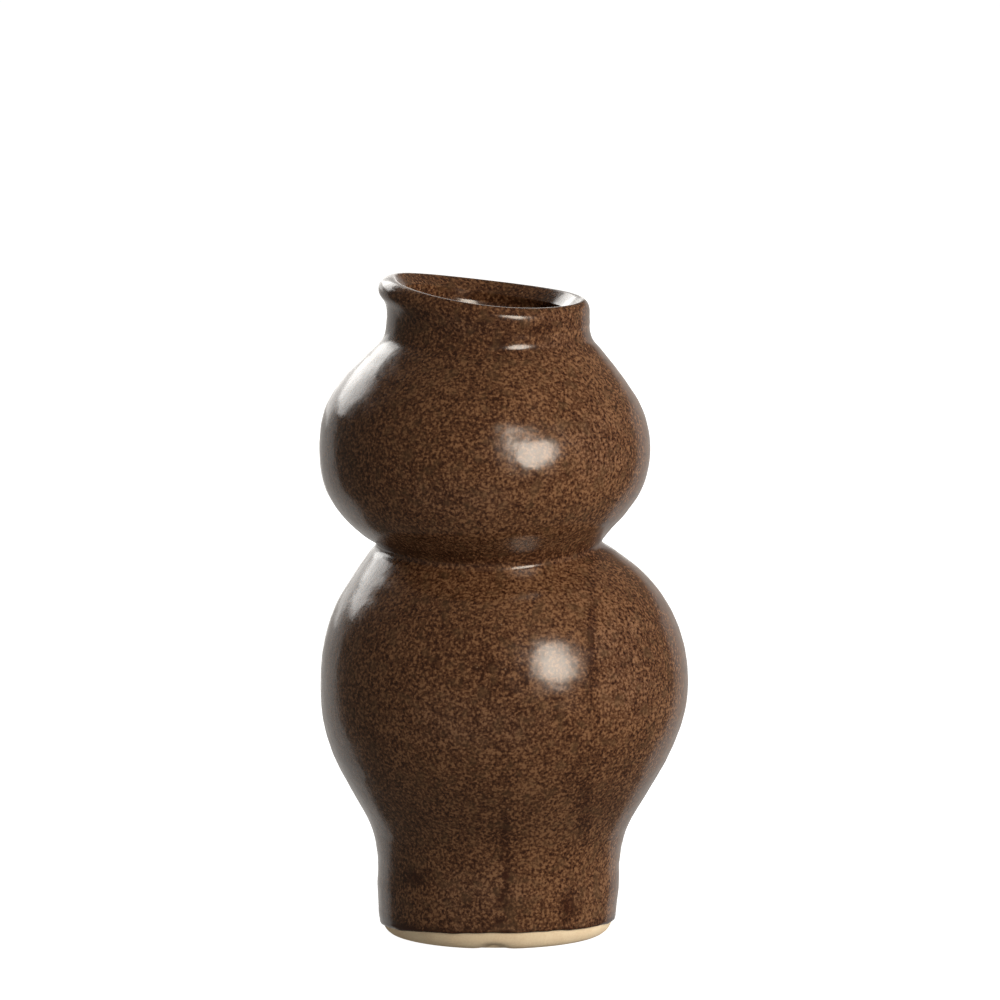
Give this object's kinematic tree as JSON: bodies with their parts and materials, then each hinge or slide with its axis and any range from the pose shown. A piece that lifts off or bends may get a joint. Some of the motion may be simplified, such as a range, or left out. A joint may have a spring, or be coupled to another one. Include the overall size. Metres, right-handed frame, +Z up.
{
  "type": "bud vase",
  "caption": "Gourd-shaped stoneware bud vase: drum foot, lower bulb, waist crease, smaller offset upper bulb, short neck and a tilted rolled lip, with a speckled brown glaze.",
  "frame": {"origin": "on the ground, under the middle of the vase's bounding box", "axes": "+Z up the vase, +X to the side where the lip is lowest, front faces -Y"},
  "size_m": [0.0892, 0.089, 0.1599],
  "materials": {
    "bare_stoneware": "unglazed fired clay, matt and slightly sandy",
    "brown_glaze": "dark brown satin-gloss glaze with a dense fine light-brown speckle",
    "liner_glaze": "the same speckled brown glaze, thinner and a little warmer"
  },
  "bodies": {
    "root": {"base_slab": "bare_stoneware", "foot_wall": "bare_stoneware", "lower_bulb": "bare_stoneware", "upper_bulb": "bare_stoneware", "neck_collar": "bare_stoneware", "lip_coil": "bare_stoneware", "outer_glaze": "brown_glaze", "liner_glaze": "liner_glaze"}
  },
  "joints": []
}
